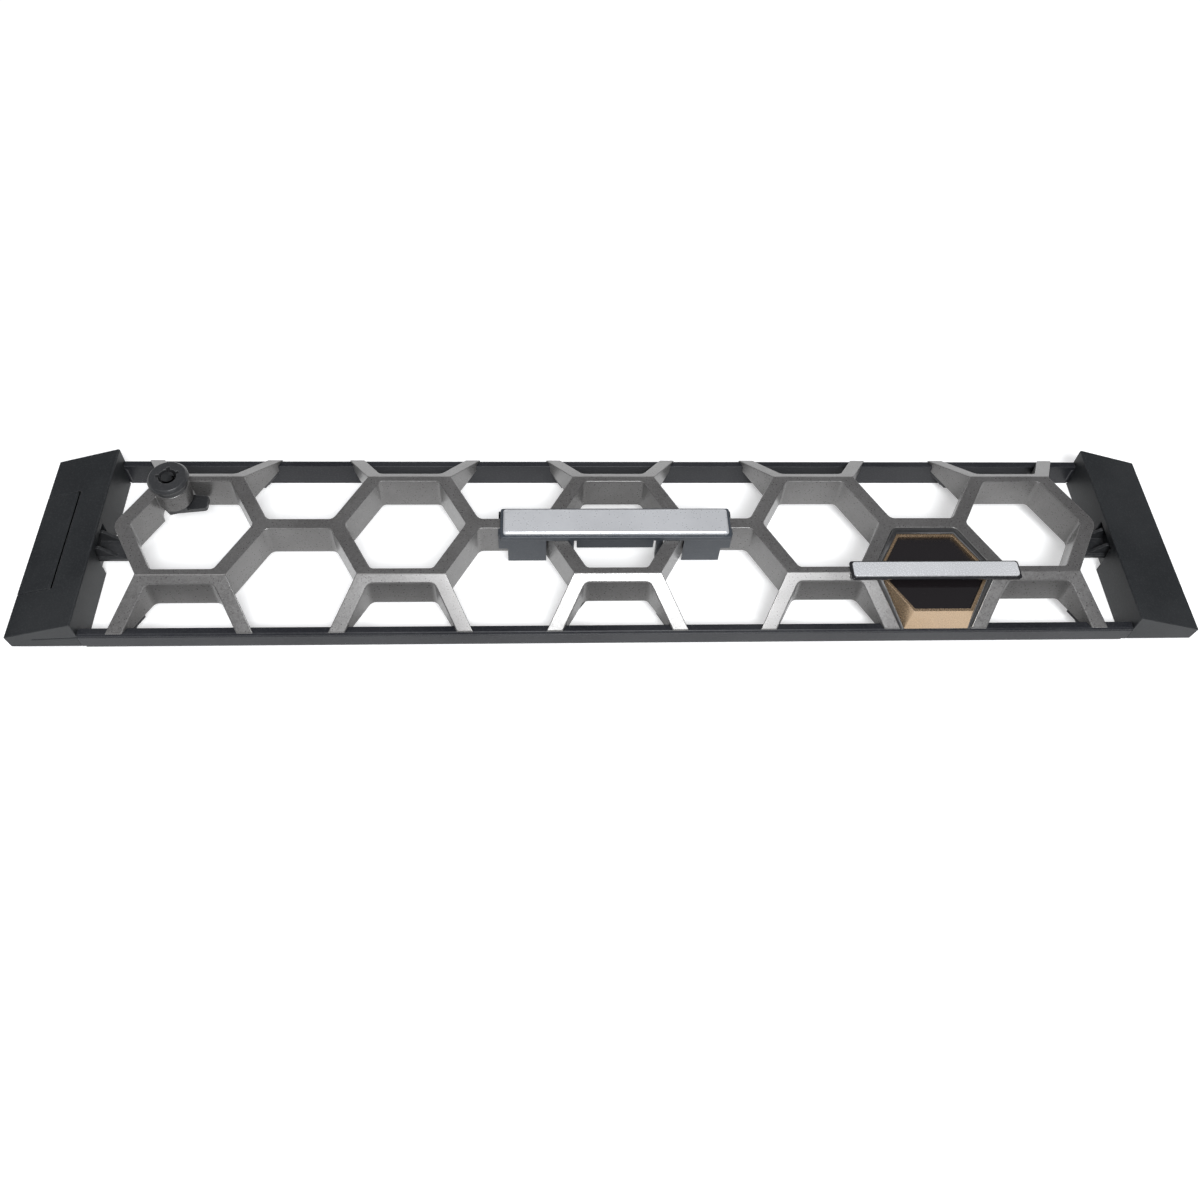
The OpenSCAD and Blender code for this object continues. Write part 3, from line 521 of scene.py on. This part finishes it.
def thin_head(mesh):
    top = max(v.co.z for v in mesh.vertices)
    moved = [v for v in mesh.vertices if abs(v.co.z - (top - HEAD_UNDER)) < RING_PLAY]
    for vertex in moved:
        vertex.co.z = top - HEAD_DISC
    print("corners of the head's underside:", len(moved))


soften("lock_barrel", "lock_housing", 0.15 * MM, reshape=thin_head)

# %% [markdown]
# ## Latch springs
# Two compression springs push the latch outward. Real ones are wound from round wire, so each is
# swept here along a helix with closed end turns.

# %% Sizes of the wound springs
SPRING_LOW, SPRING_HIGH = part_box("latch_springs")
OUTER_R = 2.2 * MM
WIRE_R = 0.3 * MM
COIL_R = OUTER_R - WIRE_R
TURNS = 6.5
END_CLOSING = 0.055
RING = 12
STEPS = 26


# %% Sweeping the wire
def wire_ring(shape, start, length, share):
    """The ring of corners round the wire at this share of the spring's way."""
    spread = share - END_CLOSING * math.sin(2 * math.pi * share)
    turn = 2 * math.pi * TURNS * share
    outward = Vector((0.0, math.cos(turn), math.sin(turn)))
    middle = Vector((start[0] + WIRE_R + spread * (length - 2 * WIRE_R), start[1], start[2]))
    middle += COIL_R * outward
    angles = [2 * math.pi * j / RING for j in range(RING)]
    along = Vector((1.0, 0.0, 0.0))
    return [shape.verts.new(middle + WIRE_R * (math.cos(a) * outward + math.sin(a) * along)) for a in angles]


def wound_spring(name, start, length):
    """A spring along X whose first and last turns lie close together."""
    shape = bmesh.new()
    count = int(TURNS * STEPS)
    rings = [wire_ring(shape, start, length, i / count) for i in range(count + 1)]
    shape.faces.new(rings[0])
    for before, ring in zip(rings, rings[1:]):
        for j in range(RING):
            after = (j + 1) % RING
            shape.faces.new((before[j], ring[j], ring[after], before[after]))
    shape.faces.new(list(reversed(rings[-1])))
    mesh = closed_mesh(shape, name)
    for face in mesh.polygons:
        face.use_smooth = True
    return add_piece(mesh, name, "spring_steel", "bezel")


# %% The two latch springs
slide_travel = next(j for j in frame["joints"] if j["name"] == "release_slide")["range_m"][1]
spring_length = SPRING_HIGH.x - SPRING_LOW.x
spring_y = SPRING_HIGH.y - OUTER_R
spring_z = (SPRING_LOW.z + SPRING_HIGH.z) / 2
for side, word in ((1, "upper"), (-1, "lower")):
    spring = wound_spring(f"latch_spring_{word}", (SPRING_LOW.x, side * spring_y, spring_z), spring_length)
    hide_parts("latch_springs")
    (spring_length - slide_travel) / spring_length
    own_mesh(spring)
print(f"springs: {spring_length / MM:.1f} mm long at rest")

# %% [markdown]
# ## Light and floor
# A pale table and soft light from above suit a dark, glossy object. The floor glows a little for
# the camera, for mirrors and through glass, which makes it paper white while its shadows stay.

# %% Table
FLOOR_LIFT = 0.42
FLOOR_HALF = 6.0
FLOOR_Z = -0.0002
PAPER = (0.80, 0.80, 0.80)
PAPER_DARK = (0.79, 0.79, 0.79)
PAPER_LIGHT = (0.81, 0.81, 0.81)


def ray_kind(recipe, name):
    """1 for rays of this kind and 0 for all others."""
    return recipe.add("ShaderNodeLightPath", output=name)


def pale_floor():
    finish = Recipe("floor_paper", PAPER, 0.9)
    seen = ray_kind(finish, "Is Camera Ray") + ray_kind(finish, "Is Glossy Ray")
    seen = (seen + ray_kind(finish, "Is Transmission Ray")).clamped()
    speckle = finish.noise(300.0)
    finish.set("Base Color", finish.mix(speckle, PAPER_DARK, PAPER_LIGHT))
    finish.set("Emission Color", (1.0, 1.0, 1.0, 1.0))
    finish.set("Emission Strength", seen * FLOOR_LIFT)
    return finish.material


floor_mesh = bpy.data.meshes.new("floor")
corner_signs = ((-1, -1), (1, -1), (1, 1), (-1, 1))
floor_corners = [(x * FLOOR_HALF, y * FLOOR_HALF, FLOOR_Z) for x, y in corner_signs]
floor_mesh.from_pydata(floor_corners, [], [(0, 1, 2, 3)])
floor = add_object("floor", floor_mesh)
floor_mesh.materials.append(pale_floor())
print(f"floor: {2 * FLOOR_HALF:.0f} m wide")

# %% [markdown]
# One wide lamp stands over the viewer's shoulder: the lower facets of the honeycomb face it and
# light up, while the flat middle mirrors the darker ceiling. A second lamp behind gives the upper
# edges their thin bright lines, and a third from above fills the shadows.

# %% World and lamps
CEILING = (0.17, 0.17, 0.18)
WHITE = (1.0, 1.0, 1.0)

world = bpy.data.worlds.new("studio")
bpy.context.scene.world = world
world.use_nodes = True
sky = Recipe.on(world.node_tree)
background = world.node_tree.nodes["Background"]
feed(sky.tree, background.inputs["Color"], sky.mix(ray_kind(sky, "Is Camera Ray"), CEILING, WHITE))
background.inputs["Strength"].default_value = 1.0


def soft_lamp(name, place, size, watts, color=WHITE):
    """A rectangular lamp that looks at the middle of the bezel."""
    light = bpy.data.lights.new(name, "AREA")
    light.shape = "RECTANGLE"
    light.size, light.size_y = size
    light.energy = watts
    light.color = color
    lamp = add_object(name, light)
    lamp.location = place
    lamp.rotation_euler = (-Vector(place)).to_track_quat("-Z", "Y").to_euler()
    print(f"{name}: {watts:.0f} W, {Vector(place).length:.2f} m away")


soft_lamp("key_lamp", place=(0.08, -0.62, 0.90), size=(0.34, 0.24), watts=11.0, color=(0.97, 0.985, 1.0))
soft_lamp("back_lamp", place=(0.1, 1.3, 0.55), size=(1.6, 0.5), watts=6.0)
soft_lamp("top_lamp", place=(-0.5, -0.2, 1.6), size=(0.8, 0.8), watts=5.0)

# %% [markdown]
# ## Camera
# The bezel is long and low, so it is looked at from above and in front, with a small turn and
# roll, as a hand-held camera has them. The bezel sits above the middle of the picture, which a
# vertical shift of the lens gives without tilting the view.

# %% Camera
CAMERA_AT = Vector((-31.78, -266.52, 416.85)) * MM
LOOK_DOWN = math.radians(52.097)
LOOK_SIDE = math.radians(4.996)
ROLL = math.radians(4.029)
SENSOR_MM = 36.0
LENS_MM = 34.1454
LENS_SHIFT = -0.1215917
NEAREST = 0.01

forward = Vector((math.sin(LOOK_SIDE) * math.cos(LOOK_DOWN), math.cos(LOOK_SIDE) * math.cos(LOOK_DOWN),
                  -math.sin(LOOK_DOWN)))
right = Vector((math.cos(LOOK_SIDE), -math.sin(LOOK_SIDE), 0.0))
up = right.cross(forward)
rolled_right = right * math.cos(ROLL) + up * math.sin(ROLL)
rolled_up = up * math.cos(ROLL) - right * math.sin(ROLL)
lens = bpy.data.cameras.new("camera")
lens.sensor_width = SENSOR_MM
lens.lens = LENS_MM
lens.shift_y = LENS_SHIFT
lens.clip_start = NEAREST
camera = add_object("camera", lens)
camera.matrix_world = Matrix.Translation(CAMERA_AT) @ Matrix(
    (rolled_right, rolled_up, -forward)).transposed().to_4x4()
bpy.context.scene.camera = camera
bpy.context.scene.view_settings.view_transform = "Standard"
print(f"camera: {lens.lens:.1f} mm, {CAMERA_AT.length:.3f} m away")
